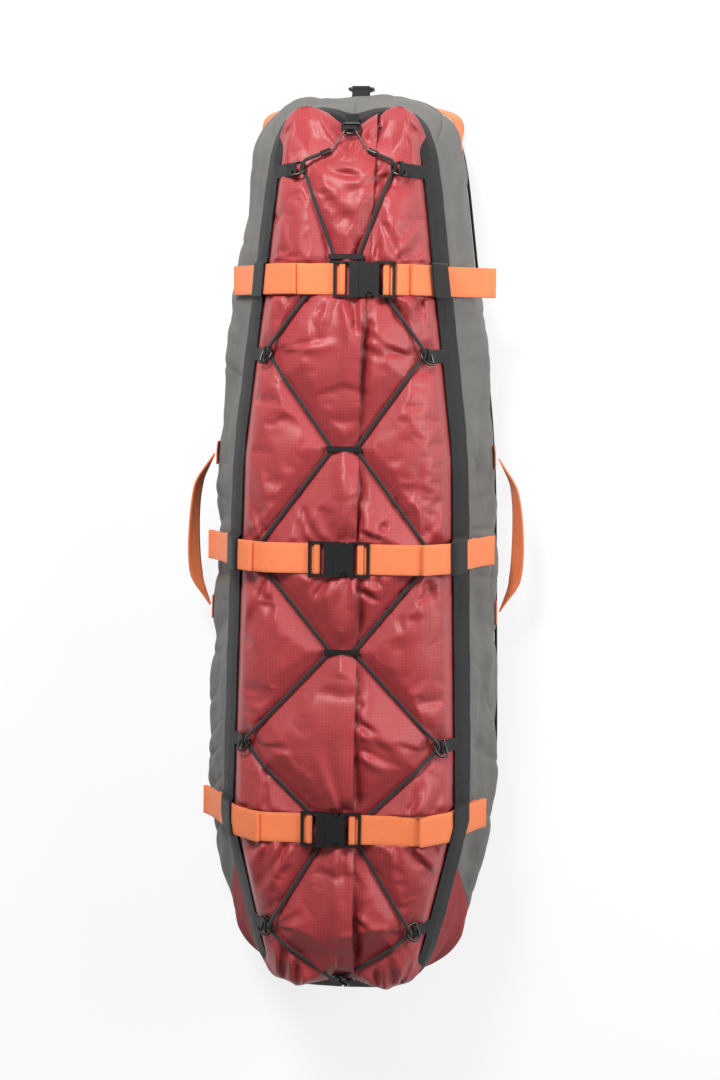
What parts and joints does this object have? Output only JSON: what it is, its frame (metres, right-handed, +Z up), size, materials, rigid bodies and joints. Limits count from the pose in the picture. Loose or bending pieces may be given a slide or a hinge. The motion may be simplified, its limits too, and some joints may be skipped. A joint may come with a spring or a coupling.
{
  "type": "pulk load bag",
  "caption": "Closed textile load bag for a pulk: grey sides, red cover, orange buckled straps, laced shock cord and carry handles",
  "frame": {"origin": "middle of the bag's own box, on the ground under its base panel", "axes": "+X to the right seen from above with the nose ahead, +Y to the nose, +Z up"},
  "size_m": [0.5726, 1.548, 0.317],
  "materials": {
    "red_cover": "satin ripstop cloth",
    "red_tail": "matt coated cloth",
    "grey_wall": "matt coated cloth",
    "black_webbing": "woven webbing",
    "orange_webbing": "woven webbing",
    "black_plastic": "moulded, fine grain",
    "dark_nickel": "dark nickel plating",
    "black_cord": "braided sheath"
  },
  "bodies": {
    "bag": {"cover_flap_left": "red_cover", "cover_flap_right": "red_cover", "tail_panel": "red_tail", "wall_left": "grey_wall", "wall_right": "grey_wall", "base_panel": "grey_wall", "edge_tape_left": "black_webbing", "edge_tape_right": "black_webbing", "keepers_left": "black_webbing", "keepers_right": "black_webbing", "ring_tabs_left": "black_webbing", "ring_tabs_right": "black_webbing", "ring_tab_nose": "black_webbing", "ring_tab_tail": "black_webbing", "tow_loop": "black_webbing", "seam_piping": "black_webbing", "strap_front_left": "orange_webbing", "strap_front_right": "orange_webbing", "strap_mid_left": "orange_webbing", "strap_mid_right": "orange_webbing", "strap_rear_left": "orange_webbing", "strap_rear_right": "orange_webbing", "stowed_tail_front_left": "orange_webbing", "stowed_tail_front_right": "orange_webbing", "stowed_tail_mid_left": "orange_webbing", "stowed_tail_mid_right": "orange_webbing", "stowed_tail_rear_left": "orange_webbing", "stowed_tail_rear_right": "orange_webbing", "nose_grab_strap": "orange_webbing", "handle_patches_left": "orange_webbing", "handle_patches_right": "orange_webbing", "buckle_socket_front": "black_plastic", "buckle_socket_mid": "black_plastic", "buckle_socket_rear": "black_plastic", "buckle_plug_front": "black_plastic", "buckle_plug_mid": "black_plastic", "buckle_plug_rear": "black_plastic", "cord_clips": "black_plastic", "d_rings_left": "dark_nickel", "d_rings_right": "dark_nickel", "d_ring_nose": "dark_nickel", "d_ring_tail": "dark_nickel", "cord_hook_left": "dark_nickel", "cord_hook_right": "dark_nickel", "shock_cord": "black_cord"},
    "carry_handle_left": {"carry_handle_left": "orange_webbing"},
    "carry_handle_right": {"carry_handle_right": "orange_webbing"},
    "tow_ring": {"tow_ring": "dark_nickel"}
  },
  "joints": [
    {"name": "carry_handle_left", "type": "hinge", "parent": "bag", "child": "carry_handle_left", "pos_m": [-0.24935, 0.01, 0.078], "axis": [0.0246, 0.9997, 0], "range_deg": [-20, 60]},
    {"name": "carry_handle_right", "type": "hinge", "parent": "bag", "child": "carry_handle_right", "pos_m": [0.24935, 0.01, 0.078], "axis": [0.0246, -0.9997, 0], "range_deg": [-20, 60]},
    {"name": "tow_ring", "type": "hinge", "parent": "bag", "child": "tow_ring", "pos_m": [0, 0.7692, 0.06], "axis": [1, 0, 0], "range_deg": [0, 100]}
  ]
}
